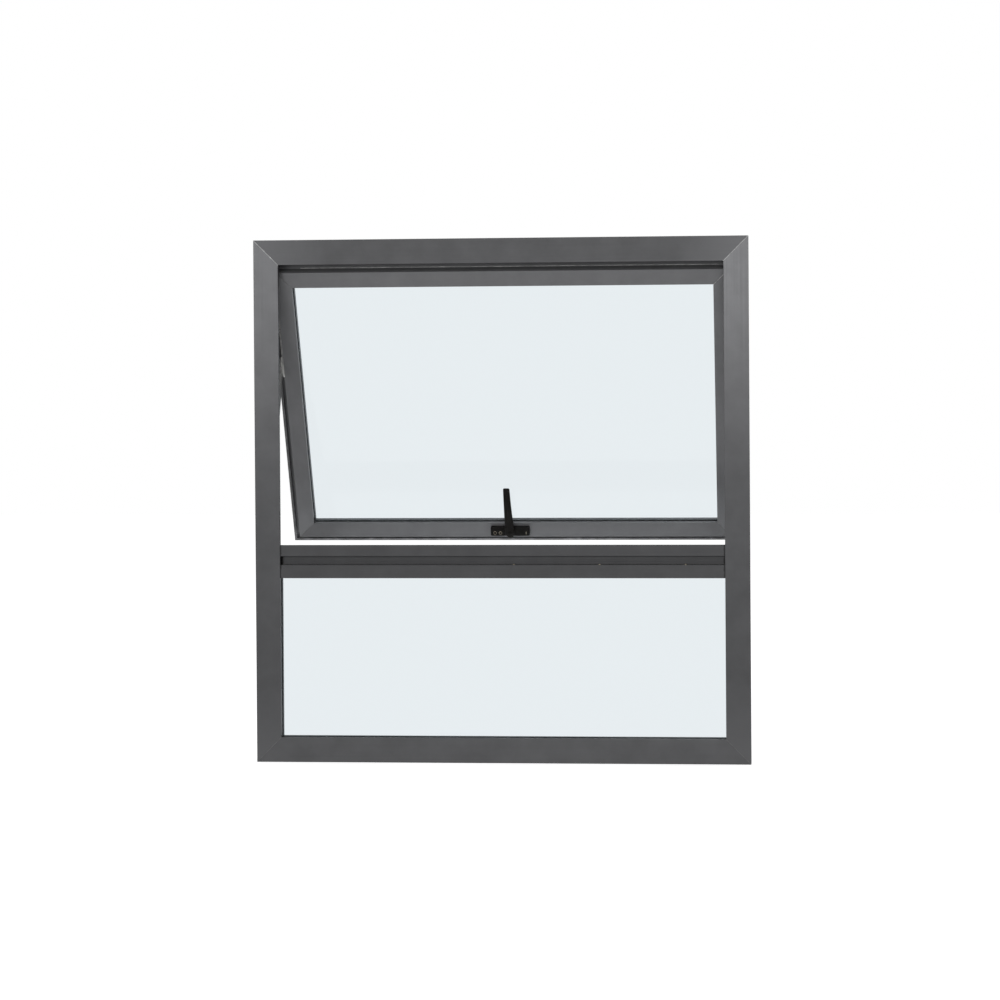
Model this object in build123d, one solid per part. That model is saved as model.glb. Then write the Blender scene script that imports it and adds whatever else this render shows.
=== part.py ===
"""Aluminium window: a top-hung sash, held open on two friction stays, over a fixed light.

Seen from the room, X runs to the right, Y outwards through the wall and Z up.
The origin is the middle of the sill's underside, half way through its depth.
Sections are drawn with u across the face, from the outer edge towards the glass,
and v through the depth, from the room side outwards.
"""
import os
from math import atan2, cos, degrees, hypot, radians, sin, sqrt

from build123d import *

# Overall size
WIDTH = 900
HEIGHT = 950
DEPTH = 28
TRANSOM_TOP = 395

# Outer frame extrusion
FRAME_FACE = 45
FRAME_WALL = 1.8
FLANGE = 2
EDGE_RADIUS = 0.6
MITRE_GROOVE = 0.6

# Transom extrusion: its face, with the screw channel that runs along it
TRANSOM_FACE = 60
TRANSOM_REBATE = 16
CHANNEL_LOW = 24
CHANNEL_WIDTH = 16
CHANNEL_DEPTH = 13
BUTT_GAP = 0.3

# Sash extrusion: how far the frame covers it, and how far it laps the frame outside
COVER = 10
SASH_FACE = 29
SASH_BOX = 16
SASH_WALL = 1.6
SASH_LAP = 5

# Gasket groove shared by the extrusions, and what sits in it
GROOVE_BLOCK = 5
GROOVE_DEPTH = 4
GROOVE_WIDTH = 3.2
GROOVE_MOUTH = 2
GROOVE_LIP = 1
GASKET_CLEARANCE = 0.15
GASKET_HEAD = 4.2
SEAL_GAP = 2
SEAL_SQUEEZE = 0.6

# Glass and its beads
GLASS = 5
GLASS_EDGE_GAP = 3
SASH_BEDDING = 3
FIXED_BEDDING = 6
BEAD_GASKET = 2.5
BEAD_GASKET_WIDTH = 4.5
BEAD_SLOPE = 3
BEAD_WALL = 1.2

# Friction stays: the linkage, closed and as the sash stands open
OPEN_ANGLE = 20
FLANGE_CLEARANCE = 1.9
SHORT_ARM = 30
SASH_ARM = 170
SUPPORT_ARM = 219
PIVOT_DEPTH = 17
PIVOT_BELOW_TOP = 2

# Friction stays: the pieces
TRACK_WIDTH = 18
TRACK_PAST_PIVOT = 14
TRACK_RIM = 4.5
TRACK_GAUGE = 1.2
STAY_LEAF = 2.5
STAY_PLAY = 0.2
STAY_ROOM = 1.3
ARM_WIDTH = 13
SASH_BAR_WIDTH = 16
SASH_BAR_TAIL = 26
SLIDER_LENGTH = 46
PIN = 6

# Cam handle on the sash's bottom rail
HANDLE_OFFSET = -8
HANDLE_BASE_LENGTH = 74
HANDLE_BASE_WIDTH = 18
HANDLE_BASE_THICK = 8
HANDLE_BASE_CORNER = 1.5
HANDLE_BASE_EDGE = 1.2
LEVER_LENGTH = 106
LEVER_BOSS_WIDTH = 18
LEVER_TIP_WIDTH = 12
LEVER_THICK = 6
LEVER_TIP_THICK = 4
LEVER_RISE = 16
LEVER_MID_RISE = 7
LEVER_TIP_CORNER = 2
CAM_WIDTH = 11
CAM_REACH = 5
CAM_THICK = 4
CAM_CORNER = 4

# Sizes that follow from those above
SEAL_HEIGHT = SEAL_GAP + SEAL_SQUEEZE
GROOVE_TOP = FLANGE + GROOVE_DEPTH
SASH_SETBACK = GROOVE_TOP + SEAL_GAP
SASH_DEPTH = DEPTH - SASH_SETBACK + SEAL_GAP + GROOVE_TOP
CAVITY = TRACK_RIM + 2 * STAY_LEAF + STAY_PLAY + STAY_ROOM
REBATE = CAVITY + COVER
FRAME_BOX = FRAME_FACE - REBATE
SASH_FLANGE = CAVITY + SASH_LAP
SASH_REBATE = SASH_FACE - SASH_BOX
SASH_WIDTH = WIDTH - 2 * (FRAME_FACE - COVER)
SASH_BOTTOM = TRANSOM_TOP - COVER
SASH_TOP = HEIGHT - FRAME_FACE + COVER
SASH_HEIGHT = SASH_TOP - SASH_BOTTOM
OPENING_WIDTH = WIDTH - 2 * FRAME_FACE
VENT_HEIGHT = HEIGHT - FRAME_FACE - TRANSOM_TOP
TRANSOM_BOTTOM = TRANSOM_TOP - TRANSOM_FACE
FIXED_HEIGHT = TRANSOM_BOTTOM - FRAME_FACE
JAMB_WALL_X = WIDTH / 2 - FRAME_BOX


def rect(u0, u1, v0, v1):
    """A rectangle of a section, between two widths u and two depths v in any order."""
    return Pos((u0 + u1) / 2, (v0 + v1) / 2) * Rectangle(abs(u1 - u0), abs(v1 - v0))


def softened(section, *corners):
    """The section with its corners at these points rounded."""
    rounded = [v for v in section.vertices() if any(hypot(v.X - u, v.Y - w) < EDGE_RADIUS for u, w in corners)]
    return fillet(rounded, EDGE_RADIUS)


def groove(edge, floor, way):
    """The C-shaped gasket groove: its far edge at u = edge, its floor on the flange, opening along way."""
    middle = edge - GROOVE_BLOCK / 2
    top = floor + way * GROOVE_DEPTH
    block = rect(edge - GROOVE_BLOCK, edge, floor, top)
    slot = rect(middle - GROOVE_WIDTH / 2, middle + GROOVE_WIDTH / 2, floor, top - way * GROOVE_LIP)
    mouth = rect(middle - GROOVE_MOUTH / 2, middle + GROOVE_MOUTH / 2, floor, top)
    return block - slot - mouth


def gasket(edge, floor, way, height):
    """A gasket for that groove: a foot behind the lips, a stem, and a head that stands proud by height."""
    middle = edge - GROOVE_BLOCK / 2
    top = floor + way * GROOVE_DEPTH
    foot_half = GROOVE_WIDTH / 2 - GASKET_CLEARANCE
    stem_half = GROOVE_MOUTH / 2 - GASKET_CLEARANCE
    foot_top = top - way * (GROOVE_LIP + GASKET_CLEARANCE)
    foot = rect(middle - foot_half, middle + foot_half, floor, foot_top)
    stem = rect(middle - stem_half, middle + stem_half, floor, top)
    head = rect(middle - GASKET_HEAD / 2, middle + GASKET_HEAD / 2, top, top + way * height)
    return foot + stem + head


def frame_section():
    """Hollow box, the flange that shows to the room, and the groove at the flange's edge."""
    box = rect(0, FRAME_BOX, 0, DEPTH)
    hollow = rect(FRAME_WALL, FRAME_BOX - FRAME_WALL, FRAME_WALL, DEPTH - FRAME_WALL)
    flange = rect(FRAME_BOX, FRAME_FACE, 0, FLANGE)
    section = box - hollow + flange + groove(FRAME_FACE, FLANGE, 1)
    return softened(section, (0, 0), (0, DEPTH), (FRAME_BOX, DEPTH), (FRAME_FACE, 0))


def transom_section():
    """Box with a channel sunk in its face, a flange over each light, and a groove at each edge."""
    box_top = TRANSOM_FACE - REBATE
    channel_top = CHANNEL_LOW + CHANNEL_WIDTH
    floor = CHANNEL_DEPTH + FRAME_WALL
    solid = rect(TRANSOM_REBATE, box_top, 0, DEPTH) + rect(0, TRANSOM_FACE, 0, FLANGE)
    solid += rect(TRANSOM_REBATE, channel_top + FRAME_WALL, 0, floor)
    solid += groove(GROOVE_BLOCK, FLANGE, 1) + groove(TRANSOM_FACE, FLANGE, 1)
    solid -= rect(CHANNEL_LOW, channel_top, 0, CHANNEL_DEPTH)
    hollow_low = TRANSOM_REBATE + FRAME_WALL
    solid -= rect(hollow_low, CHANNEL_LOW - FRAME_WALL, FRAME_WALL, DEPTH - FRAME_WALL)
    solid -= rect(hollow_low, box_top - FRAME_WALL, floor, DEPTH - FRAME_WALL)
    face_edges = ((0, 0), (CHANNEL_LOW, 0), (channel_top, 0), (TRANSOM_FACE, 0))
    return softened(solid, *face_edges, (TRANSOM_REBATE, DEPTH), (box_top, DEPTH))


def sash_section():
    """Hollow box, inner flange and groove for the glass, outer flange and groove that lap the frame."""
    box = rect(0, SASH_BOX, 0, SASH_DEPTH)
    hollow = rect(SASH_WALL, SASH_BOX - SASH_WALL, SASH_WALL, SASH_DEPTH - SASH_WALL)
    inner = rect(SASH_BOX, SASH_FACE, 0, FLANGE) + groove(SASH_FACE, FLANGE, 1)
    outer_floor = SASH_DEPTH - FLANGE
    outer = rect(-SASH_FLANGE, 0, outer_floor, SASH_DEPTH)
    section = box - hollow + inner + outer + groove(GROOVE_BLOCK - SASH_FLANGE, outer_floor, -1)
    flange_tip = (-SASH_FLANGE, outer_floor - GROOVE_DEPTH)
    return softened(section, (0, 0), (SASH_FACE, 0), (-SASH_FLANGE, SASH_DEPTH), flange_tip)


def bead_section(width, depth):
    """A hollow glazing bead: u from the rebate's wall to the glass edge, v outwards, its face sloped."""
    outline = Polyline((0, 0), (width, 0), (width, depth - BEAD_SLOPE), (0, depth), close=True)
    face = make_face(outline)
    hollow = offset(face, -BEAD_WALL, kind=Kind.INTERSECTION)
    return softened(face, (width, depth - BEAD_SLOPE)) - hollow


def mitred_bar(section, length):
    """A length of section standing on Z, its edge u = 0 as long as length, both ends cut at 45 degrees."""
    low = section.bounding_box().min.X
    high = section.bounding_box().max.X
    bar = Pos(0, 0, low) * extrude(section, length - 2 * low)
    outline = Polyline((low, low), (high, high), (high, length - high), (low, length - low), close=True)
    return bar & extrude(Plane.XZ * make_face(outline), 2 * DEPTH, both=True)


def four_sides(section, width, height):
    """The section carried round a rectangle that stands on z = 0, as four mitred bars."""
    upright = mitred_bar(section, height)
    level = mitred_bar(section, width)
    return {
        "left": Pos(-width / 2, 0, 0) * upright,
        "right": Pos(width / 2, 0, height) * Rot(0, 180, 0) * upright,
        "bottom": Pos(width / 2, 0, 0) * Rot(0, -90, 0) * level,
        "top": Pos(-width / 2, 0, height) * Rot(0, 90, 0) * level,
    }


def grooved_sides(section, width, height):
    """Those four bars, with a fine V along each mitre on the room face."""
    knife = Rot(45, 0, 0) * Box(4 * FRAME_FACE, MITRE_GROOVE, MITRE_GROOVE)
    knives = []
    for side in (-1, 1):
        knives.append(Pos(side * width / 2, 0, 0) * Rot(0, side * 45, 0) * knife)
        knives.append(Pos(side * width / 2, 0, height) * Rot(0, -side * 45, 0) * knife)
    return {name: bar - knives for name, bar in four_sides(section, width, height).items()}


def ring(section, width, height):
    """The same four bars joined into one piece, as a gasket is at its corners."""
    sides = four_sides(section, width, height)
    return sides["left"] + sides["bottom"] + sides["right"] + sides["top"]


def glazing(name, width, height, rebates, bedding, depth, glass_start):
    """Pane, gaskets and four beads for a daylight of width by height that stands on z = 0."""
    glass_end = glass_start + GLASS
    bead_start = glass_end + BEAD_GASKET
    side, top = rebates
    pane_x = width + 2 * (side - GLASS_EDGE_GAP)
    pane_low = GLASS_EDGE_GAP - side
    pane_high = height + top - GLASS_EDGE_GAP
    centre = Pos(0, (glass_start + glass_end) / 2, (pane_low + pane_high) / 2)
    pane = centre * Box(pane_x, GLASS, pane_high - pane_low)
    outer = rect(-BEAD_GASKET_WIDTH, 0, glass_end, bead_start)
    parts = {
        f"{name}_glass": pane,
        f"{name}_inner_gasket": ring(gasket(0, FLANGE, 1, bedding), width, height),
        f"{name}_outer_gasket": ring(outer, width, height),
    }
    bead_depth = depth - bead_start
    across = width + 2 * side
    lying = extrude(bead_section(side, bead_depth), across)
    hanging = extrude(bead_section(top, bead_depth), across)
    standing = extrude(bead_section(side, bead_depth), height)
    parts[f"{name}_bead_bottom"] = Pos(across / 2, bead_start, -side) * Rot(0, -90, 0) * lying
    parts[f"{name}_bead_top"] = Pos(-across / 2, bead_start, height + top) * Rot(0, 90, 0) * hanging
    parts[f"{name}_bead_left"] = Pos(-across / 2, bead_start, 0) * standing
    parts[f"{name}_bead_right"] = Pos(across / 2, bead_start, height) * Rot(0, 180, 0) * standing
    return parts


def frame_parts():
    """Sill, head, jambs and transom, with the seal that the sash closes on.

    The jambs' grooves are milled away where the transom crosses them.
    """
    sides = grooved_sides(frame_section(), WIDTH, HEIGHT)
    parts = {"frame_sill": sides["bottom"], "frame_head": sides["top"]}
    milled = Box(2 * GROOVE_BLOCK, GROOVE_DEPTH, TRANSOM_FACE)
    for side, name in ((-1, "left"), (1, "right")):
        place = Pos(side * OPENING_WIDTH / 2, FLANGE + GROOVE_DEPTH / 2, TRANSOM_TOP - TRANSOM_FACE / 2)
        parts[f"frame_{name}_jamb"] = sides[name] - place * milled
    seal = ring(gasket(0, FLANGE, 1, SEAL_HEIGHT), OPENING_WIDTH, VENT_HEIGHT)
    parts["frame_seal"] = Pos(0, 0, TRANSOM_TOP) * seal
    parts["frame_transom"] = transom()
    return parts


def transom():
    """The transom between the jambs, its ends notched to pass behind their flanges."""
    length = 2 * JAMB_WALL_X
    bar = Pos(JAMB_WALL_X, 0, TRANSOM_BOTTOM) * Rot(0, -90, 0) * extrude(transom_section(), length)
    notch_depth = GROOVE_TOP + BUTT_GAP
    notch_width = REBATE + BUTT_GAP
    notch = Box(notch_width, notch_depth, 2 * TRANSOM_FACE)
    for side in (-1, 1):
        middle = side * (JAMB_WALL_X - notch_width / 2)
        bar -= Pos(middle, notch_depth / 2, TRANSOM_BOTTOM + TRANSOM_FACE / 2) * notch
    return bar


def sash_parts():
    """The sash with its glazing, closed and standing on z = 0 with its room face on v = 0."""
    sides = grooved_sides(sash_section(), SASH_WIDTH, SASH_HEIGHT)
    parts = {
        "sash_bottom_rail": sides["bottom"],
        "sash_top_rail": sides["top"],
        "sash_left_stile": sides["left"],
        "sash_right_stile": sides["right"],
    }
    seal = gasket(GROOVE_BLOCK - SASH_FLANGE, SASH_DEPTH - FLANGE, -1, SEAL_HEIGHT)
    parts["sash_seal"] = ring(seal, SASH_WIDTH, SASH_HEIGHT)
    light_width = SASH_WIDTH - 2 * SASH_FACE
    light_height = SASH_HEIGHT - 2 * SASH_FACE
    rebates = (SASH_REBATE, SASH_REBATE)
    start = GROOVE_TOP + SASH_BEDDING
    glazed = glazing("sash", light_width, light_height, rebates, SASH_BEDDING, SASH_DEPTH, start)
    parts.update({name: Pos(0, 0, SASH_FACE) * shape for name, shape in glazed.items()})
    return parts


def handle_parts():
    """The cam handle, standing off the sash's bottom rail towards the room."""
    outline = RectangleRounded(HANDLE_BASE_LENGTH, HANDLE_BASE_WIDTH, HANDLE_BASE_CORNER)
    base = extrude(Plane.XZ * outline, HANDLE_BASE_THICK)
    base = fillet(base.faces().sort_by(Axis.Y)[0].edges(), HANDLE_BASE_EDGE)
    parts = {"handle_base": base, "handle_lever": lever(), "handle_cam": cam()}
    seat = Pos(HANDLE_OFFSET, 0, SASH_FACE / 2)
    return {name: seat * shape for name, shape in parts.items()}


def lever():
    """The lever: its side view, rising away from the sash towards the tip, cut to its front view."""
    foot = -HANDLE_BASE_THICK
    boss = LEVER_BOSS_WIDTH / 2
    tip = LEVER_LENGTH - boss
    under = Spline((foot, boss), (foot - LEVER_MID_RISE, tip / 2), (foot - LEVER_RISE, tip))
    over = Spline(
        (foot - LEVER_RISE - LEVER_TIP_THICK, tip),
        (foot - LEVER_MID_RISE - LEVER_THICK, tip / 2),
        (foot - LEVER_THICK, -boss),
    )
    side = make_face(under + Line(under @ 1, over @ 0) + over + Polyline(over @ 1, (foot, -boss), under @ 0))
    solid = extrude(Plane.YZ * side, LEVER_BOSS_WIDTH, both=True)
    tip_half = LEVER_TIP_WIDTH / 2
    blade = make_face(Polyline((-boss, 0), (boss, 0), (tip_half, tip), (-tip_half, tip), close=True))
    blade = fillet(blade.vertices().sort_by(Axis.Y)[-2:], LEVER_TIP_CORNER)
    return solid & extrude(Plane.XZ * (Circle(boss) + blade), 3 * (LEVER_RISE + LEVER_THICK), both=True)


def cam():
    """The cam's nose, below the base, which hooks behind the transom's flange when the sash is shut."""
    edge = -HANDLE_BASE_WIDTH / 2
    nose = rect(-CAM_WIDTH / 2, CAM_WIDTH / 2, edge, edge - CAM_REACH)
    nose = fillet(nose.vertices().sort_by(Axis.Y)[:2], CAM_CORNER)
    return Pos(0, CAM_THICK - HANDLE_BASE_THICK, 0) * extrude(Plane.XZ * nose, CAM_THICK)


def short_arm_reach(slope):
    """How far out the short arm must carry the sash for its seal, above the pivot, to clear the head."""
    seal_v = SASH_SETBACK + SASH_DEPTH - FLANGE - GROOVE_DEPTH - SEAL_HEIGHT - PIVOT_DEPTH
    seal_z = PIVOT_BELOW_TOP + SASH_FLANGE
    return DEPTH + FLANGE_CLEARANCE + seal_z * sin(slope) - seal_v * cos(slope) - PIVOT_DEPTH


def stay_points():
    """The stay's pivots as (v, z), with the sash open: slider, sash arm's top and foot, fixed pivot."""
    slope = radians(OPEN_ANGLE)
    fixed_z = SASH_TOP - PIVOT_BELOW_TOP - SASH_ARM - SUPPORT_ARM
    out = short_arm_reach(slope)
    reach = out + SASH_ARM * sin(slope)
    foot_z = fixed_z + sqrt(SUPPORT_ARM**2 - reach**2)
    top_z = foot_z + SASH_ARM * cos(slope)
    slider_z = top_z - sqrt(SHORT_ARM**2 - out**2)
    return {
        "slider": (PIVOT_DEPTH, slider_z),
        "top": (PIVOT_DEPTH + out, top_z),
        "foot": (PIVOT_DEPTH + reach, foot_z),
        "fixed": (PIVOT_DEPTH, fixed_z),
    }


def opened(shape):
    """A piece of the sash, given closed and standing on z = 0, carried to where the stays hold it."""
    v, z = stay_points()["top"]
    closed = Pos(0, SASH_SETBACK - PIVOT_DEPTH, PIVOT_BELOW_TOP - SASH_HEIGHT)
    return Pos(0, v, z) * Rot(OPEN_ANGLE, 0, 0) * closed * shape


def leaf(sketch, start, thick):
    """A flat piece of a stay, drawn in (v, z), that lies from start to start + thick off the jamb."""
    return Pos(start - JAMB_WALL_X, 0, 0) * extrude(Plane.YZ * sketch, thick)


def link(first, second, width):
    """The outline of an arm from one pivot to another, with round ends."""
    dv, dz = second[0] - first[0], second[1] - first[1]
    middle = Pos((first[0] + second[0]) / 2, (first[1] + second[1]) / 2)
    return middle * Rot(0, 0, degrees(atan2(dz, dv))) * SlotCenterToCenter(sqrt(dv**2 + dz**2), width)


def pin(point, start, end, radius=PIN / 2):
    """A rivet at a pivot, from start to end off the jamb."""
    return leaf(Pos(*point) * Circle(radius), start, end - start)


def stay_parts():
    """One friction stay, in the cavity beside the sash on the left."""
    at = stay_points()
    sash_leaf = CAVITY - STAY_LEAF
    arm_leaf = sash_leaf - STAY_PLAY - STAY_LEAF
    track_low = at["fixed"][1] - TRACK_PAST_PIVOT
    track_high = HEIGHT - FRAME_BOX - STAY_PLAY
    outside = rect(PIVOT_DEPTH - TRACK_WIDTH / 2, PIVOT_DEPTH + TRACK_WIDTH / 2, track_low, track_high)
    inside_half = TRACK_WIDTH / 2 - TRACK_GAUGE
    inside = rect(PIVOT_DEPTH - inside_half, PIVOT_DEPTH + inside_half, track_low - PIN, track_high + PIN)
    track = leaf(outside, 0, TRACK_RIM) - leaf(inside, TRACK_GAUGE, TRACK_RIM)
    track += pin(at["fixed"], TRACK_GAUGE, arm_leaf - STAY_PLAY, PIN)
    track += pin(at["fixed"], TRACK_GAUGE, arm_leaf + STAY_LEAF)
    shoe = rect(
        PIVOT_DEPTH - inside_half + STAY_PLAY,
        PIVOT_DEPTH + inside_half - STAY_PLAY,
        at["slider"][1] - SLIDER_LENGTH / 2,
        at["slider"][1] + SLIDER_LENGTH / 2,
    )
    slider = leaf(shoe, TRACK_GAUGE, arm_leaf - STAY_PLAY - TRACK_GAUGE)
    slider += pin(at["slider"], TRACK_GAUGE, arm_leaf + STAY_LEAF)
    hole = PIN / 2 + STAY_PLAY
    support = leaf(link(at["fixed"], at["foot"], ARM_WIDTH), arm_leaf, STAY_LEAF)
    support -= pin(at["fixed"], 0, CAVITY, hole)
    support += pin(at["foot"], arm_leaf, CAVITY)
    short = leaf(link(at["slider"], at["top"], ARM_WIDTH), arm_leaf, STAY_LEAF)
    short -= pin(at["slider"], 0, CAVITY, hole)
    short += pin(at["top"], arm_leaf, CAVITY)
    bar = leaf(link(at["top"], sash_bar_end(at), SASH_BAR_WIDTH), sash_leaf, STAY_LEAF)
    bar -= pin(at["top"], 0, 2 * CAVITY, hole) + pin(at["foot"], 0, 2 * CAVITY, hole)
    return {
        "stay_track": track,
        "stay_slider": slider,
        "stay_support_arm": support,
        "stay_short_arm": short,
        "stay_sash_bar": bar,
    }


def sash_bar_end(at):
    """The sash bar's lower end, past the foot pivot on the line of the sash."""
    slope = radians(OPEN_ANGLE)
    v, z = at["foot"]
    return v + SASH_BAR_TAIL * sin(slope), z - SASH_BAR_TAIL * cos(slope)


def window():
    """Every piece by name, in place."""
    parts = frame_parts()
    rebates = (REBATE, TRANSOM_REBATE)
    start = GROOVE_TOP + FIXED_BEDDING
    fixed = glazing("fixed", OPENING_WIDTH, FIXED_HEIGHT, rebates, FIXED_BEDDING, DEPTH, start)
    parts.update({name: Pos(0, 0, FRAME_FACE) * shape for name, shape in fixed.items()})
    for name, shape in {**sash_parts(), **handle_parts()}.items():
        parts[name] = opened(shape)
    for name, shape in stay_parts().items():
        parts[f"left_{name}"] = shape
        parts[f"right_{name}"] = mirror(shape, about=Plane.YZ)
    return {name: Pos(0, -DEPTH / 2, 0) * shape for name, shape in parts.items()}


os.makedirs("parts", exist_ok=True)
for node, piece in window().items():
    export_step(piece, f"parts/{node}.step")
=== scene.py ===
"""Finishes for the aluminium window: powder-coated extrusions, glass, gaskets, stays and the cam handle."""

import math

import bmesh
import bpy
import numpy as np
from bpy.props import FloatProperty, FloatVectorProperty, PointerProperty
from bpy.types import Operator, Panel, PropertyGroup
from mathutils import Matrix, Vector


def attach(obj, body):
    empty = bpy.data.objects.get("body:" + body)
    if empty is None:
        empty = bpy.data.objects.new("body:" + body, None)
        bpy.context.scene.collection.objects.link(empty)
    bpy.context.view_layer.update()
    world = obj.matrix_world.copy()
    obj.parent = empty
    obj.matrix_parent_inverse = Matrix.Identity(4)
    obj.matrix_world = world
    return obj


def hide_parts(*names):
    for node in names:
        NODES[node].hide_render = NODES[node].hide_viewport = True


bl_info = {
    "name": "Aluminium window finishes",
    "version": (1, 0, 0),
    "blender": (4, 5, 0),
    "location": "3D View > Sidebar > Window",
    "description": "Materials, small hardware and stage for a top-hung aluminium window",
    "category": "Object",
}

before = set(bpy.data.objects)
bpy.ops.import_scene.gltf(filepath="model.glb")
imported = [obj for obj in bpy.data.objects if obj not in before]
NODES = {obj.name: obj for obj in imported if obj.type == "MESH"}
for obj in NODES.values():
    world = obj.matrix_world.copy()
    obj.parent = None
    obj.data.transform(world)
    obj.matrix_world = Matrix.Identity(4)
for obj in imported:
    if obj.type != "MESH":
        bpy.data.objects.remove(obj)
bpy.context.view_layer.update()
MM = 0.001

# Rows, columns and corners of the new meshes, and the angle past which an edge is sharp
TURNED_COLUMNS = 28
DOME_ROWS = 7
SEALANT_ROWS, SEALANT_COLUMNS = 36, 10
LEVER_ROWS, LEVER_COLUMNS = 72, 40
CAM_ROWS, CAM_COLUMNS = 22, 32
CORNER_STEPS = 6
SHARP_ANGLE = math.radians(38.0)

# Round heads: the share of the height that is a straight skirt, and how far from the pole the crown stops
DOME_SKIRT = 0.35
POLE_GAP = 0.04

# Waves in the width of a run of sealant: share of the width, radians along the run, share of the seed
SEALANT_WAVES = ((0.24, 43.0, 1.0), (0.16, 101.0, 2.0))

# How far the sash's outer flange stands out past its room face
SASH_FLANGE = 16 * MM

# Screws in the transom's channel: across from the middle, up from the foot, back from the face
CHANNEL_SCREWS = tuple(x * MM for x in (22.8, 178.4, 333.9))
CHANNEL_LEDGE = 24 * MM
CHANNEL_DEPTH = 5 * MM

# Lever of the cam handle: the tip above the pivot, then how far out its front and back are at foot, bend, tip
LEVER_TIP = 97 * MM
LEVER_FRONT = np.array([-14.0, -21.0, -28.0]) * MM
LEVER_BACK = np.array([-8.0, -15.0, -24.0]) * MM
LEVER_LEFT_POWER, LEVER_RIGHT_POWER = 0.8, 2.2
TIP_ROUNDING, TIP_DRAWN_IN = 1.6 * MM, 0.22

# Base of the cam handle: rounded edge and corners, its two screws and the end of its slot
BASE_EDGE = 1.2 * MM
BASE_CORNER = 2.4 * MM
BASE_SCREWS = (-28.7 * MM, -18.4 * MM)
BASE_SLOT = 30.7 * MM
BASE_FITTINGS_UP = -2.6 * MM
PIVOT_CAP_OUT = -15.0 * MM

# Die lines on level and upright bars: stretches of their pattern, and the way they draw reflections out
LEVEL_LINES, UPRIGHT_LINES = (3.0, 700.0, 700.0), (700.0, 700.0, 3.0)
DRAWN_UP, DRAWN_RIGHT = (0.0, 0.5, 0.87), (0.87, 0.5, 0.0)

# Floor, and soft lights as name, place, aim and size, the key lights also with their share of the key power
FLOOR_HALF = 6.0
KEY_LIGHTS = (
    ("softbox_strip", (0.0, -3.8, 1.15), (0.0, 0.0, 0.9), (4.0, 0.6), 3.0),
    ("softbox_outside", (1.0, 2.4, 2.2), (0.0, 0.0, 0.5), (2.0, 2.0), 1.0),
)
UNDER_LIGHT = ("softbox_under", (0.0, 0.1, 0.02), (0.0, 0.1, 1.0), (0.85, 0.14))


def colour_property(name, description, default):
    """A colour that a user may change, with its alpha left at one."""
    return FloatVectorProperty(
        name=name, description=description, subtype="COLOR", size=3, min=0.0, max=1.0, default=default
    )


def length_property(name, description, default):
    """A length in metres that a user may change."""
    return FloatProperty(
        name=name, description=description, subtype="DISTANCE", unit="LENGTH", default=default
    )


def angle_property(name, description, degrees):
    """An angle that a user may change, given in degrees and kept in radians."""
    return FloatProperty(
        name=name, description=description, subtype="ANGLE", unit="ROTATION", default=math.radians(degrees)
    )


class WindowFinishSettings(PropertyGroup):
    """Colours of the window's materials."""

    frame_colour: colour_property("Frame", "Coat on the outer frame", (0.080, 0.0805, 0.0835))
    # The transom's coat is the frame's coat made darker: painted shade, for the shade the transom lies in.
    transom_shaded_colour: colour_property("Transom", "Coat on the transom", (0.058, 0.0583, 0.0605))
    # The sash's coat is the frame's coat made lighter: painted light, for the light its leaning faces catch.
    sash_lit_colour: colour_property("Sash", "Coat on the sash and the beads", (0.130, 0.131, 0.136))
    glass_tint: colour_property("Glass", "What both faces of a pane let through", (0.80, 0.85, 0.875))
    rubber_colour: colour_property("Gaskets", "Rubber of the gaskets", (0.030, 0.030, 0.031))
    steel_colour: colour_property("Stays", "Brushed steel of the friction stays", (0.52, 0.52, 0.51))
    handle_colour: colour_property("Handle", "Coating of the cam handle", (0.0060, 0.0056, 0.0050))
    # The lighter and duller sealant are one sealant: the lighter copy is a painted highlight on the mitres
    # that catch light.
    highlit_seam_colour: colour_property("Seams", "Sealant in the lighter mitres", (0.66, 0.66, 0.65))
    dull_seam_colour: colour_property("Dull seams", "Sealant in the duller mitres", (0.16, 0.16, 0.16))
    joint_colour: colour_property("Butt joints", "Sealant at the transom's ends", (0.012, 0.012, 0.013))
    rim_colour: colour_property("Rims", "Bare metal of the screw rims", (0.34, 0.30, 0.24))


class WindowHardwareSettings(PropertyGroup):
    """Sizes of the sealant, each half its width, and of the small hardware."""

    frame_bead: length_property("Frame sealant", "Sealant in the frame's mitres", 0.42 * MM)
    sash_bead: length_property("Sash sealant", "Sealant in the sash's mitres", 0.28 * MM)
    # The run along the sash's top flange is light where it lies in shade: a painted highlight line.
    flange_highlight_bead: length_property("Flange sealant", "Sealant along the sash's top flange", 0.42 * MM)
    transom_bead: length_property("Transom sealant", "Sealant at the transom's ends", 0.32 * MM)
    channel_screw: length_property("Channel screws", "Radius of the transom's screws", 2.3 * MM)
    rivet: length_property("Rivets", "Radius of the rivet heads on the stays", 3.2 * MM)
    base_screw: length_property("Base screws", "Radius of the screws in the handle's base", 2.1 * MM)
    screw_rim: length_property("Screw rims", "Radius of the bare rims round those screws", 2.75 * MM)
    pivot_cap: length_property("Pivot cap", "Radius of the cap on the lever's pivot", 4.4 * MM)
    lever_boss: length_property("Lever boss", "Half the lever's width at its pivot", 9.0 * MM)
    lever_tip: length_property("Lever tip", "Half the lever's width at its tip", 6.0 * MM)


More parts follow.
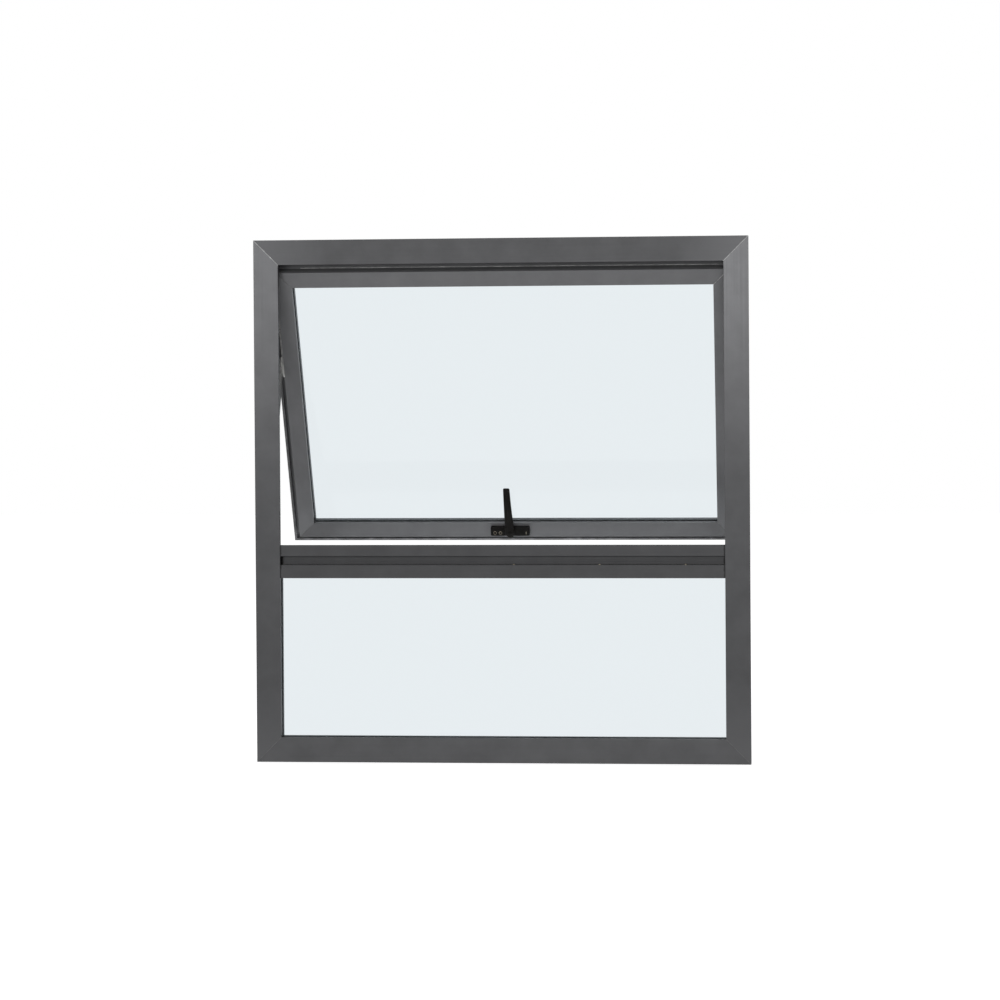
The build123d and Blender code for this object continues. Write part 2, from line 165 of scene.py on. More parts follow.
class WindowStageSettings(PropertyGroup):
    """Camera and light."""

    yaw: angle_property("Yaw", "How far the camera stands round to the right", 3.573)
    elevation: angle_property("Elevation", "How far the camera stands above the aim", 0.417)
    roll: angle_property("Roll", "Turn of the camera about its line of sight", -0.373)
    distance: length_property("Distance", "From the camera to the aim", 3.6)
    aim_x: length_property("Aim across", "The aim, right of the window's middle", 0.272)
    aim_z: length_property("Aim height", "The aim's height", 0.6918)
    focal: FloatProperty(name="Focal length", description="Lens in millimetres", default=72.08)
    shift_x: FloatProperty(name="Shift across", description="Lens shift", default=-0.15)
    shift_y: FloatProperty(name="Shift up", description="Lens shift", default=-0.12)
    sky: FloatProperty(name="Sky", description="Strength of the white surroundings", default=0.4)
    key_power: FloatProperty(name="Key light", description="Power of the lamp outside", default=16.0)
    under_power: FloatProperty(name="Light below", description="Power of the strip below", default=1.6)


def coordinates(node):
    """The vertices of a CAD node as an array of rows (x, y, z) in metres."""
    mesh = NODES[node].data
    co = np.empty(len(mesh.vertices) * 3, np.float32)
    mesh.vertices.foreach_get("co", co)
    return co.reshape(-1, 3).astype(float)


def sash_axes():
    """Rows right, up and out of the open sash: out is the way in which its pane is thinnest."""
    pane = coordinates("sash_glass")
    spread = np.linalg.svd(pane - pane.mean(0), full_matrices=False)[2]
    out = spread[2] * np.sign(spread[2][1])
    right = np.array([1.0, 0.0, 0.0])
    return np.array([right, np.cross(out, right) * -1.0, out])


SASH = sash_axes()
WORLD = np.array([[1.0, 0.0, 0.0], [0.0, 0.0, 1.0], [0.0, 1.0, 0.0]])


def extent(node, axes):
    """Lowest and highest coordinates of a CAD node along three axes given as rows."""
    along = coordinates(node) @ axes.T
    return along.min(0), along.max(0)


def on_sash(points):
    """Points (across, up, out) from the middle of the handle's base, carried to the row frame.

    Out is counted from the rail's room face, on which the base sits.
    """
    low, high = extent("handle_base", SASH)
    middle = (low + high) / 2
    return (np.asarray(points, float) + (middle[0], middle[1], high[2])) @ SASH


def arm_pivots(arm):
    """The pivots of a stay's arm as (y, z), lower first: the middles of its two round ends.

    They lie on the arm's long axis, half its length less half its width from its middle.
    """
    flat = np.unique(coordinates(arm)[:, 1:].round(7), axis=0)
    middle = (flat.min(0) + flat.max(0)) / 2
    axes = np.linalg.svd(flat - middle, full_matrices=False)[2]
    half_length, half_width = np.abs((flat - middle) @ axes.T).max(0)
    reach = axes[0] * np.sign(axes[0][1]) * (half_length - half_width)
    return middle - reach, middle + reach


def grid_quads(rows, columns):
    """Quads between the rows of a grid whose columns close into loops."""
    start = np.arange(rows - 1)[:, None] * columns
    column = np.arange(columns)[None, :]
    after = (column + 1) % columns
    quads = np.stack([start + column, start + after, start + columns + after, start + columns + column], -1)
    return quads.reshape(-1, 4)


def piece(name, grids, material, ends=True, hides=()):
    """One object from grids of points, each a surface of rows by columns whose columns close into loops.

    The ends of every grid are closed with a flat face where asked.
    """
    points, faces, first = [], [], 0
    for grid in grids:
        rows, columns = grid.shape[:2]
        faces += (grid_quads(rows, columns) + first).tolist()
        if ends:
            last = first + (rows - 1) * columns
            faces += [list(range(first, first + columns)), list(range(last, last + columns))]
        points.append(grid.reshape(-1, 3))
        first += rows * columns
    mesh = bpy.data.meshes.new(name)
    mesh.from_pydata(np.concatenate(points).tolist(), [], faces)
    shape = bmesh.new()
    shape.from_mesh(mesh)
    bmesh.ops.recalc_face_normals(shape, faces=shape.faces)
    shape.to_mesh(mesh)
    shape.free()
    mesh.shade_smooth()
    mesh.set_sharp_from_angle(angle=SHARP_ANGLE)
    mesh.materials.append(material)
    made = bpy.data.objects.new(name, mesh)
    bpy.context.scene.collection.objects.link(made)
    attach(made, "root")
    if hides:
        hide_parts(*hides)


def superellipse(angle, half_width, half_height, power):
    """A rounded rectangle: cosine and sine of the angle, each to the power 2/power, times the half sizes."""
    across, up = (np.sign(way) * np.abs(way) ** (2.0 / power) for way in (np.cos(angle), np.sin(angle)))
    return half_width * across, half_height * up


def lathe(profile, places, axes):
    """Turned pieces: a profile of rows (radius, height) taken round a circle.

    The axes are given as rows, and the height is along the third.
    """
    profile = np.asarray(profile, float)
    angle = np.linspace(0, 2 * np.pi, TURNED_COLUMNS, endpoint=False)
    circle = np.stack([np.cos(angle), np.sin(angle)], -1)
    flat = profile[:, 0, None, None] * circle
    height = np.broadcast_to(profile[:, 1, None, None], (*flat.shape[:2], 1))
    local = np.concatenate([flat, height], -1) @ np.asarray(axes, float)
    return [local + place for place in places]


def dome(radius, height):
    """Profile of a round head on a straight skirt.

    Its radius is the full one times the sine of an angle, its height the skirt and the rest times the cosine.
    """
    turn = np.linspace(np.pi / 2, POLE_GAP, DOME_ROWS)
    crown = np.stack([radius * np.sin(turn), height * (DOME_SKIRT + (1 - DOME_SKIRT) * np.cos(turn))], -1)
    return np.concatenate([[(radius, 0.0)], crown])


def run_of_sealant(start, end, normal, half_width, half_depth, seed=0.0):
    """An ellipse swept along a line, its width varied by two sine waves of the way along."""
    start, end, normal = (np.asarray(v, float) for v in (start, end, normal))
    along = (end - start) / np.linalg.norm(end - start)
    side = np.cross(normal, along)
    way = np.linspace(0, 1, SEALANT_ROWS)[:, None]
    wave = 1 + sum(share * np.sin(turns * way + shift * seed) for share, turns, shift in SEALANT_WAVES)
    angle = np.linspace(0, 2 * np.pi, SEALANT_COLUMNS, endpoint=False)
    line = (start + (end - start) * way)[:, None, :]
    across = (half_width * wave * np.cos(angle))[..., None] * side
    return line + across + (half_depth * np.sin(angle))[:, None] * normal


def new_material(name):
    """An empty node material and its Principled shader, wired to the output."""
    material = bpy.data.materials.new(name)
    material.use_nodes = True
    tree = material.node_tree
    shader = next(n for n in tree.nodes if n.type == "BSDF_PRINCIPLED")
    return material, tree, shader


def object_coordinates(tree, scale=(1.0, 1.0, 1.0), turn=(0.0, 0.0, 0.0)):
    """Object coordinates, turned and then stretched, as a socket."""
    source = tree.nodes.new("ShaderNodeTexCoord")
    mapping = tree.nodes.new("ShaderNodeMapping")
    mapping.vector_type = "POINT"
    mapping.inputs["Scale"].default_value = scale
    rotated = tree.nodes.new("ShaderNodeVectorRotate")
    rotated.rotation_type = "EULER_XYZ"
    rotated.inputs["Rotation"].default_value = turn
    tree.links.new(source.outputs["Object"], rotated.inputs["Vector"])
    tree.links.new(rotated.outputs["Vector"], mapping.inputs["Vector"])
    return mapping.outputs["Vector"]


def noise(tree, vector, scale, detail=2.0, roughness=0.5):
    """A noise texture's value."""
    texture = tree.nodes.new("ShaderNodeTexNoise")
    texture.inputs["Scale"].default_value = scale
    texture.inputs["Detail"].default_value = detail
    texture.inputs["Roughness"].default_value = roughness
    tree.links.new(vector, texture.inputs["Vector"])
    return texture.outputs["Fac"]


def spread_value(tree, value, low, high, from_low=0.3, from_high=0.7):
    """A value carried from one range to another, clamped."""
    ranged = tree.nodes.new("ShaderNodeMapRange")
    ranged.inputs["From Min"].default_value = from_low
    ranged.inputs["From Max"].default_value = from_high
    ranged.inputs["To Min"].default_value = low
    ranged.inputs["To Max"].default_value = high
    tree.links.new(value, ranged.inputs["Value"])
    return ranged.outputs["Result"]


def blend_colours(tree, value, dark, light):
    """A colour between two, chosen by a value from 0 to 1; the first may be a socket."""
    mix = tree.nodes.new("ShaderNodeMix")
    mix.data_type = "RGBA"
    if isinstance(dark, tuple):
        mix.inputs["A"].default_value = (*dark, 1.0)
    else:
        tree.links.new(dark, mix.inputs["A"])
    mix.inputs["B"].default_value = (*light, 1.0)
    tree.links.new(value, mix.inputs["Factor"])
    return mix.outputs["Result"]


def bump(tree, height, distance, strength, before=None):
    """A bump from a height, laid over another one."""
    node = tree.nodes.new("ShaderNodeBump")
    node.inputs["Distance"].default_value = distance
    node.inputs["Strength"].default_value = strength
    tree.links.new(height, node.inputs["Height"])
    if before is not None:
        tree.links.new(before, node.inputs["Normal"])
    return node.outputs["Normal"]


def shade(colour, factor):
    """A colour made lighter or darker."""
    return tuple(min(1.0, c * factor) for c in colour)


def calculate(tree, operation, first, second=None):
    """A math node on one or two sockets or numbers."""
    node = tree.nodes.new("ShaderNodeMath")
    node.operation = operation
    for socket, value in zip(node.inputs, (first, second)):
        if isinstance(value, float):
            socket.default_value = value
        elif value is not None:
            tree.links.new(value, socket)
    return node.outputs[0]


def switch_shaders(tree, switch, first, second):
    """Wires the output to the first shader where a value is nought, and to the second where it is one."""
    mix = tree.nodes.new("ShaderNodeMixShader")
    output = next(n for n in tree.nodes if n.type == "OUTPUT_MATERIAL")
    tree.links.new(switch, mix.inputs["Fac"])
    tree.links.new(first, mix.inputs[1])
    tree.links.new(second, mix.inputs[2])
    tree.links.new(mix.outputs["Shader"], output.inputs["Surface"])


def mirrored_rays(tree):
    """One on the rays that metal and glass send out, nought on others."""
    path = tree.nodes.new("ShaderNodeLightPath")
    return calculate(tree, "MAXIMUM", path.outputs["Is Glossy Ray"], path.outputs["Is Transmission Ray"])


def one_axis(tree, plain, axis):
    """One axis of a vector: 0 across, 1 out or 2 up."""
    parts = tree.nodes.new("ShaderNodeSeparateXYZ")
    tree.links.new(plain, parts.inputs[0])
    return parts.outputs[axis]


def from_middle(tree, plain, axis, middle=0.0):
    """Distance of a point from the object's middle along one axis."""
    return calculate(tree, "ABSOLUTE", calculate(tree, "SUBTRACT", one_axis(tree, plain, axis), middle))


def joint_painted_shade(tree, plain):
    """Mask of painted shade: one at the transom's ends, nought a few millimetres short of them.

    It rises with the distance from the middle, made ragged, over a narrow band at the jamb's inner edge.
    """
    joint = -extent("frame_left_jamb", WORLD)[1][0]
    ragged = calculate(tree, "MULTIPLY", noise(tree, plain, scale=160.0, detail=3.0), 5 * MM)
    reach = calculate(tree, "ADD", from_middle(tree, plain, 0), ragged)
    return spread_value(tree, reach, 0.0, 1.0, from_low=joint - 0.6 * MM, from_high=joint + 0.9 * MM)


def painted_light_ends(tree, plain):
    """Mask of painted light: nought over most of the head, rising to one at its corners."""
    half = -extent("frame_head", WORLD)[0][0]
    reach = from_middle(tree, plain, 0)
    return spread_value(tree, reach, 0.0, 1.0, from_low=half - 135 * MM, from_high=half - 18 * MM)


def painted_light_foot(tree, plain):
    """Mask of painted light: one at the foot of the jambs, fading out upwards."""
    return spread_value(tree, one_axis(tree, plain, 2), 1.0, 0.0, from_low=20 * MM, from_high=150 * MM)


def painted_mitre_highlight(tree, plain):
    """Mask of a painted highlight: one on the frame's mitres, nought a hair away, patchy along them and
    fainter towards the sill.

    A point is off a mitre by |x| less half the width, less |z - half the height|, plus half the height.
    """
    low, high = extent("frame_left_jamb", WORLD)
    half_width, half_height = -low[0], (high[1] - low[1]) / 2
    reach = calculate(tree, "ADD", from_middle(tree, plain, 0), half_height - half_width)
    off = calculate(tree, "SUBTRACT", reach, from_middle(tree, plain, 2, half_height))
    near = spread_value(
        tree, calculate(tree, "ABSOLUTE", off), 1.0, 0.0, from_low=0.6 * MM, from_high=1.7 * MM
    )
    broken = noise(tree, plain, scale=130.0, detail=3.0)
    patchy = spread_value(tree, broken, 0.15, 1.0, from_low=0.38, from_high=0.62)
    faint = spread_value(tree, one_axis(tree, plain, 2), 0.06, 1.0, from_low=100 * MM, from_high=800 * MM)
    return calculate(tree, "MULTIPLY", near, calculate(tree, "MULTIPLY", patchy, faint))


def powder_coat(name, colour, metal, rough, lines, drawn, turn=(0.0, 0.0, 0.0), marks=()):
    """Satin coat over an extrusion: fine grain, a faint mottle, and die lines that run along the bar.

    The lines draw reflections out across the bar, in the direction given. Marks are pairs of a mask and a
    factor on the colour where the mask is one, each painted light or painted shade on the coat.
    """
    material, tree, shader = new_material(name)
    plain = object_coordinates(tree)
    mottle = spread_value(tree, noise(tree, plain, scale=22.0, detail=5.0, roughness=0.6), 0.0, 1.0)
    coat = blend_colours(tree, mottle, shade(colour, 0.91), shade(colour, 1.09))
    for mask, factor in marks:
        coat = blend_colours(tree, mask(tree, plain), coat, shade(colour, factor))
    tree.links.new(coat, shader.inputs["Base Color"])
    shader.inputs["Metallic"].default_value = metal
    shader.inputs["Specular IOR Level"].default_value = 0.45
    shader.inputs["Anisotropic"].default_value = 0.75
    tangent = tree.nodes.new("ShaderNodeCombineXYZ")
    for socket, value in zip(tangent.inputs, drawn):
        socket.default_value = value
    tree.links.new(tangent.outputs["Vector"], shader.inputs["Tangent"])
    streak = noise(tree, object_coordinates(tree, lines, turn), scale=1.0, detail=4.0, roughness=0.65)
    tree.links.new(spread_value(tree, streak, rough - 0.025, rough + 0.04), shader.inputs["Roughness"])
    grain = bump(tree, noise(tree, plain, scale=1500.0), distance=0.06 * MM, strength=0.35)
    lined = bump(tree, streak, distance=0.05 * MM, strength=0.25, before=grain)
    tree.links.new(lined, shader.inputs["Normal"])
    return material


def clear_glass(name, tint):
    """Float glass: clear, faintly tinted and slightly wavy, and lamps shine through it."""
    material, tree, shader = new_material(name)
    shader.inputs["Base Color"].default_value = (*tint, 1.0)
    shader.inputs["Transmission Weight"].default_value = 1.0
    shader.inputs["Roughness"].default_value = 0.0
    shader.inputs["IOR"].default_value = 1.2
    wave = noise(tree, object_coordinates(tree), scale=3.0, detail=1.0)
    tree.links.new(bump(tree, wave, distance=0.4 * MM, strength=0.15), shader.inputs["Normal"])
    path = tree.nodes.new("ShaderNodeLightPath")
    through = tree.nodes.new("ShaderNodeBsdfTransparent")
    through.inputs["Color"].default_value = (*tint, 1.0)
    switch_shaders(tree, path.outputs["Is Shadow Ray"], shader.outputs["BSDF"], through.outputs["BSDF"])
    return material


def black_rubber(name, colour):
    """Dull black rubber with a dusting that lightens it in places."""
    material, tree, shader = new_material(name)
    plain = object_coordinates(tree)
    dust = spread_value(
        tree, noise(tree, plain, scale=60.0, detail=4.0), 0.0, 1.0, from_low=0.45, from_high=0.75
    )
    tree.links.new(blend_colours(tree, dust, colour, shade(colour, 1.9)), shader.inputs["Base Color"])
    shader.inputs["Roughness"].default_value = 0.72
    shader.inputs["Specular IOR Level"].default_value = 0.35
    grain = bump(tree, noise(tree, plain, scale=900.0), distance=0.1 * MM, strength=0.3)
    tree.links.new(grain, shader.inputs["Normal"])
    return material


def brushed_steel(name, colour):
    """Stainless steel, brushed along the stay."""
    material, tree, shader = new_material(name)
    streak = noise(tree, object_coordinates(tree, (400.0, 900.0, 12.0)), scale=1.0, detail=3.0)
    lined = spread_value(tree, streak, 0.0, 1.0)
    tone = blend_colours(tree, lined, shade(colour, 0.8), shade(colour, 1.15))
    tree.links.new(tone, shader.inputs["Base Color"])
    shader.inputs["Metallic"].default_value = 1.0
    tree.links.new(spread_value(tree, streak, 0.26, 0.42), shader.inputs["Roughness"])
    tree.links.new(bump(tree, streak, distance=0.03 * MM, strength=0.4), shader.inputs["Normal"])
    return material


def handle_coat(name, colour):
    """Black satin coating on a casting: fine grain, and rubbed a little lighter in places."""
    material, tree, shader = new_material(name)
    plain = object_coordinates(tree)
    rubbed = spread_value(
        tree, noise(tree, plain, scale=45.0, detail=4.0), 0.0, 1.0, from_low=0.5, from_high=0.8
    )
    tree.links.new(blend_colours(tree, rubbed, colour, shade(colour, 1.5)), shader.inputs["Base Color"])
    rough = spread_value(tree, rubbed, 0.50, 0.38, from_low=0.0, from_high=1.0)
    tree.links.new(rough, shader.inputs["Roughness"])
    shader.inputs["Specular IOR Level"].default_value = 0.1
    grain = bump(tree, noise(tree, plain, scale=1100.0), distance=0.08 * MM, strength=0.35)
    tree.links.new(grain, shader.inputs["Normal"])
    return material


def sealant(name, colour):
    """A cured run of sealant, uneven in tone along its length."""
    material, tree, shader = new_material(name)
    patches = spread_value(tree, noise(tree, object_coordinates(tree), scale=70.0, detail=3.0), 0.0, 1.0)
    tone = blend_colours(tree, patches, shade(colour, 0.55), shade(colour, 1.25))
    tree.links.new(tone, shader.inputs["Base Color"])
    shader.inputs["Roughness"].default_value = 0.6
    return material


def bare_metal(name, colour):
    """Plated steel of small screws, dulled in spots."""
    material, tree, shader = new_material(name)
    spots = spread_value(tree, noise(tree, object_coordinates(tree), scale=420.0, detail=3.0), 0.0, 1.0)
    tone = blend_colours(tree, spots, shade(colour, 0.6), shade(colour, 1.2))
    tree.links.new(tone, shader.inputs["Base Color"])
    shader.inputs["Metallic"].default_value = 1.0
    rough = spread_value(tree, spots, 0.5, 0.3, from_low=0.0, from_high=1.0)
    tree.links.new(rough, shader.inputs["Roughness"])
    return material


def dress(material, names):
    """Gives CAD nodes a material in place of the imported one."""
    for name in names:
        slots = NODES[name].data.materials
        slots.clear()
        slots.append(material)


def named(*words):
    """The CAD nodes whose names hold one of these words."""
    return [n for n in NODES if any(word in n for word in words)]


class WINDOW_OT_extrusions(Operator):
    """Powder coats the frame, transom, sash and beads, with die lines along each bar"""

    bl_idname = "window.extrusions"
    bl_label = "Coat the extrusions"

    def execute(self, context):
        finish = context.scene.window_finish
        frame_coat, transom_shaded_coat = tuple(finish.frame_colour), tuple(finish.transom_shaded_colour)
        sash_lit_coat = tuple(finish.sash_lit_colour)
        upright_beads = ("fixed_bead_left", "fixed_bead_right")
        leaning_bars = ("stile", "sash_bead_left", "sash_bead_right")
        level, upright = (LEVEL_LINES, DRAWN_UP), (UPRIGHT_LINES, DRAWN_RIGHT)
        leaning = (*upright, (-math.atan2(SASH[2][2], SASH[2][1]), 0.0, 0.0))
        # Masks with their factors on the coat, all painted light or shade: a painted highlight on the mitres,
        # painted light at the head's ends and the jambs' foot, painted shade at the transom's ends.
        mitre_highlight, ends = (painted_mitre_highlight, 1.65), (painted_light_ends, 1.5)
        foot, joint_shade = (painted_light_foot, 1.3), (joint_painted_shade, 0.35)
        coats = (
            # The head, sill and jambs are painted lighter along their mitres: a painted highlight.
            ("coat_head", frame_coat, 0.7, 0.5, level, (ends, mitre_highlight), ("frame_head",)),
            ("coat_sill", frame_coat, 0.7, 0.5, level, (mitre_highlight,), ("frame_sill",)),
            # The jambs' coat is painted lighter at the foot: painted light.
            ("coat_jambs", frame_coat, 0.75, 0.38, upright, (foot, mitre_highlight), ("jamb",)),
            # The transom takes the darker copy of the frame's coat: painted shade.
            ("coat_transom_shaded", transom_shaded_coat, 0.7, 0.5, level, (joint_shade,), ("transom",)),
            # The sash's rails and beads take the lighter copy of the coat: painted light.
            ("coat_sash_level_lit", sash_lit_coat, 0.35, 0.45, level, (), ("rail", "bead_top", "bead_bottom")),
            ("coat_bead_upright_lit", sash_lit_coat, 0.35, 0.4, upright, (), upright_beads),
            # The leaning stiles and side beads get the sash's coat made a quarter lighter still: painted
            # light.
            ("coat_sash_leaning_lit", shade(sash_lit_coat, 1.25), 0.35, 0.4, leaning, (), leaning_bars),
        )
        for name, colour, metal, rough, lines, marks, words in coats:
            dress(powder_coat(name, colour, metal, rough, *lines, marks=marks), named(*words))
        return {"FINISHED"}


class WINDOW_OT_glass(Operator):
    """Makes both panes clear float glass"""

    bl_idname = "window.glass"
    bl_label = "Glaze the lights"

    def execute(self, context):
        tint = tuple(context.scene.window_finish.glass_tint)
        dress(clear_glass("float_glass", tint), named("_glass"))
        return {"FINISHED"}


class WINDOW_OT_gaskets(Operator):
    """Makes the gaskets and seals black rubber"""

    bl_idname = "window.gaskets"
    bl_label = "Fit the gaskets"

    def execute(self, context):
        rubber = tuple(context.scene.window_finish.rubber_colour)
        dress(black_rubber("gasket_rubber", rubber), named("gasket", "frame_seal"))
        dress(black_rubber("seal_rubber", shade(rubber, 4.0)), named("sash_seal"))
        return {"FINISHED"}


def frame_seams(upwards, half_width):
    """Sealant in the two mitres at the head, where upwards is 1, or at the sill, where it is -1.

    Each is swept from the inner corner to the outer one and stops just short of both.
    """
    low, high = extent("frame_left_jamb", WORLD)
    half, face = -low[0], high[0] - low[0]
    inner, outer = (high[1] - face, high[1]) if upwards > 0 else (face, 0.0)
    inner_gap, outer_gap, sunk = 0.5 * MM, 0.6 * MM, 0.12 * MM
    return [
        run_of_sealant(
            (side * (half - face - inner_gap), low[2] + sunk, inner - upwards * inner_gap),
            (side * (half - outer_gap), low[2] + sunk, outer - upwards * outer_gap),
            normal=(0.0, -1.0, 0.0),
            half_width=half_width,
            half_depth=0.1 * MM,
            seed=side + 2.0 * upwards,
        )
        for side in (-1, 1)
    ]


def sash_outline():
    """Of the sash's room face: the base's middle across, half the width, foot, top and the width of a bar.

    The foot and the top are counted from the middle of the handle's base, as on_sash counts them.
    """
    low, high = extent("sash_left_stile", SASH)
    base_low, base_high = extent("handle_base", SASH)
    across, up = ((base_low + base_high) / 2)[:2]
    edges = (-low[0] - SASH_FLANGE, low[1] + SASH_FLANGE - up, high[1] - SASH_FLANGE - up)
    return across, *edges, high[0] - low[0] - SASH_FLANGE


def sash_seams(half_width):
    """Sealant in the sash's four mitres, inner corner to outer: left foot and top, right foot and top."""
    across, half, foot, top, face = sash_outline()
    return [
        run_of_sealant(
            on_sash((side * (half - face) - across, end + inwards * face, 0.0)),
            on_sash((side * half - across, end, 0.0)),
            normal=-SASH[2],
            half_width=half_width,
            half_depth=0.12 * MM,
            seed=side * 3.0 + inwards,
        )
        for side in (-1, 1)
        for end, inwards in ((foot, 1), (top, -1))
    ]


def flange_highlight_run(half_width):
    """A thin light run shaped as sealant along the root of the sash's top flange, short of both corners: a
    painted highlight line.
    """
    across, half, _, top, _ = sash_outline()
    left_gap, right_gap, above, sunk = 42 * MM, 12 * MM, 1.2 * MM, 0.2 * MM
    out = extent("sash_seal", SASH)[1][2] - extent("handle_base", SASH)[1][2] - sunk
    start, end = (on_sash((end - across, top + above, out)) for end in (left_gap - half, half - right_gap))
    return run_of_sealant(start, end, -SASH[2], half_width, half_depth=0.4 * MM)


def transom_seams(half_width):
    """Dark sealant in the slit at each end of the transom, sunk behind its face."""
    low, high = extent("frame_transom", WORLD)
    edge = -extent("frame_left_jamb", WORLD)[1][0] - 0.15 * MM
    end_gap, sunk = 0.3 * MM, 1.6 * MM
    return [
        run_of_sealant(
            (side * edge, low[2] + sunk, low[1] + end_gap),
            (side * edge, low[2] + sunk, high[1] - end_gap),
            normal=(0.0, -1.0, 0.0),
            half_width=half_width,
            half_depth=0.7 * MM,
            seed=side,
        )
        for side in (-1, 1)
    ]


class WINDOW_OT_joints(Operator):
    """Runs sealant along the mitres and the transom's joints, and sets the screws in its channel"""

    bl_idname = "window.joints"
    bl_label = "Seal the joints"

    def execute(self, context):
        finish, sizes = context.scene.window_finish, context.scene.window_hardware
        light = sealant("seam_painted_highlight", tuple(finish.highlit_seam_colour))
        dull = sealant("seam_dull", tuple(finish.dull_seam_colour))
        dark = sealant("seam_dark", tuple(finish.joint_colour))
        # The head's mitres take the lighter copy of the sealant and the sill's the duller: a painted
        # highlight on the head's.
        piece("seams_head", frame_seams(1, sizes.frame_bead), light)
        piece("seams_sill", frame_seams(-1, sizes.frame_bead), dull)
        # The sash's right top mitre, last of the four, takes the lighter copy of the sealant: a painted
        # highlight.
        *dull_mitres, highlit_mitre = sash_seams(sizes.sash_bead)
        piece("seams_sash_dull", dull_mitres, dull)
        piece("seams_sash_highlit", [highlit_mitre], light)
        # The light run along the sash's top flange is a painted highlight line, given the lighter sealant.
        piece("flange_painted_highlight", [flange_highlight_run(sizes.flange_highlight_bead)], light)
        piece("seams_transom", transom_seams(sizes.transom_bead), dark)
        low = extent("frame_transom", WORLD)[0]
        places = [(across, low[2] + CHANNEL_DEPTH, low[1] + CHANNEL_LEDGE) for across in CHANNEL_SCREWS]
        screws = lathe(dome(sizes.channel_screw, height=1.5 * MM), places, np.eye(3))
        plated = bare_metal("screw_metal", tuple(finish.rim_colour))
        piece("channel_screws", screws, plated)
        return {"FINISHED"}


def stay_rivets(side, head):
    """Rivet heads of one stay in two lists: on its arms, facing the jamb, and on its pins, facing the sash.

    Side is -1 on the left. The short arm runs from the slider up to the sash bar, and the support arm from
    its pin on the track up to the same bar.
    """
    name = "left_stay_" if side < 0 else "right_stay_"
    short_foot, short_top = arm_pivots(name + "short_arm")
    support_foot, support_top = arm_pivots(name + "support_arm")
    arm_face = np.abs(coordinates(name + "short_arm")[:, 0]).max()
    track_face = np.abs(coordinates(name + "track")[:, 0]).min()
    to_jamb = ((0.0, 1.0, 0.0), (0.0, 0.0, side * 1.0), (side * 1.0, 0.0, 0.0))
    to_sash = ((0.0, 1.0, 0.0), (0.0, 0.0, -side * 1.0), (-side * 1.0, 0.0, 0.0))
    carried = [(side * arm_face, *pivot) for pivot in (short_top, support_top)]
    fixed = [(side * track_face, *pivot) for pivot in (short_foot, support_foot)]
    return lathe(head, carried, to_jamb), lathe(head, fixed, to_sash)


class WINDOW_OT_stays(Operator):
    """Brushes the friction stays and sets the heads of their rivets"""

    bl_idname = "window.stays"
    bl_label = "Fit the friction stays"

    def execute(self, context):
        steel = brushed_steel("stay_steel", tuple(context.scene.window_finish.steel_colour))
        dress(steel, named("stay"))
        head = dome(context.scene.window_hardware.rivet, height=0.9 * MM)
        (left_outer, left_inner), (right_outer, right_inner) = (stay_rivets(side, head) for side in (-1, 1))
        piece("stay_rivets_outer", left_outer + right_outer, steel)
        piece("stay_rivets_inner", left_inner + right_inner, steel)
        return {"FINISHED"}


def lever_grid(boss, tip):
    """The lever: a superellipse swept up from the boss, drawn in over its last stretch to round the tip.

    Half its width is a circle's below the pivot. Above it each half grows from the tip's to the boss's with a
    power of the way down, 0.8 on the left and 2.2 on the right. Its front and back are parabolas through the
    foot, the bend and the tip, and the back is flat where it lies on the base.
    """
    base_low, base_high = extent("handle_base", SASH)
    base_face = base_low[2] - base_high[2]
    foot = 0.1 * MM - boss
    way = (1 - np.cos(np.linspace(0, np.pi, LEVER_ROWS))) / 2
    height = foot + (LEVER_TIP - foot) * way
    bend = LEVER_TIP / 2
    front = np.polyval(np.polyfit((-boss, bend, LEVER_TIP), LEVER_FRONT, 2), height)
    back = np.polyval(np.polyfit((boss, bend, LEVER_TIP), LEVER_BACK, 2), height)
    back = np.minimum(back, base_face)
    down = np.clip((LEVER_TIP - height) / LEVER_TIP, 0, 1)
    round_half = np.sqrt(np.clip(boss**2 - height**2, 0, None))
    left, right = (
        np.where(height < 0, round_half, tip + (boss - tip) * down**power)[:, None]
        for power in (LEVER_LEFT_POWER, LEVER_RIGHT_POWER)
    )
    drawn_in = 1 - TIP_DRAWN_IN * np.clip(1 - (LEVER_TIP - height) / TIP_ROUNDING, 0, 1) ** 2
    angle = np.linspace(0, 2 * np.pi, LEVER_COLUMNS, endpoint=False)[None, :]
    half_deep = (back - front) / 2 * drawn_in
    across, deep = superellipse(angle, drawn_in[:, None], half_deep[:, None], power=3.6)
    across = across * np.where(across < 0, left, right)
    out = ((front + back) / 2)[:, None] + deep
    return on_sash(np.stack([across, np.broadcast_to(height[:, None], across.shape), out], -1))


def base_grid():
    """The base: a rounded rectangle lofted outwards and drawn in over a quarter circle at its front edge."""
    low, high = extent("handle_base", SASH)
    half_length, half_width = (high - low)[:2] / 2
    thick = high[2] - low[2]
    turn = np.linspace(0, np.pi / 2, CORNER_STEPS + 1)
    inset = np.concatenate([[0.0], BASE_EDGE * (1 - np.cos(turn))])[:, None]
    out = np.concatenate([[0.0], BASE_EDGE - thick - BASE_EDGE * np.sin(turn)])[:, None]
    quarter = np.linspace(0, np.pi / 2, CORNER_STEPS)
    angle = (np.arange(4)[:, None] * np.pi / 2 + quarter).ravel()[None, :]
    side_x, side_y = (np.repeat(signs, CORNER_STEPS)[None, :] for signs in ((1, -1, -1, 1), (1, 1, -1, -1)))
    across = (half_length - BASE_CORNER) * side_x + (BASE_CORNER - inset) * np.cos(angle)
    up = (half_width - BASE_CORNER) * side_y + (BASE_CORNER - inset) * np.sin(angle)
    return on_sash(np.stack([across, up, np.broadcast_to(out, across.shape)], -1))


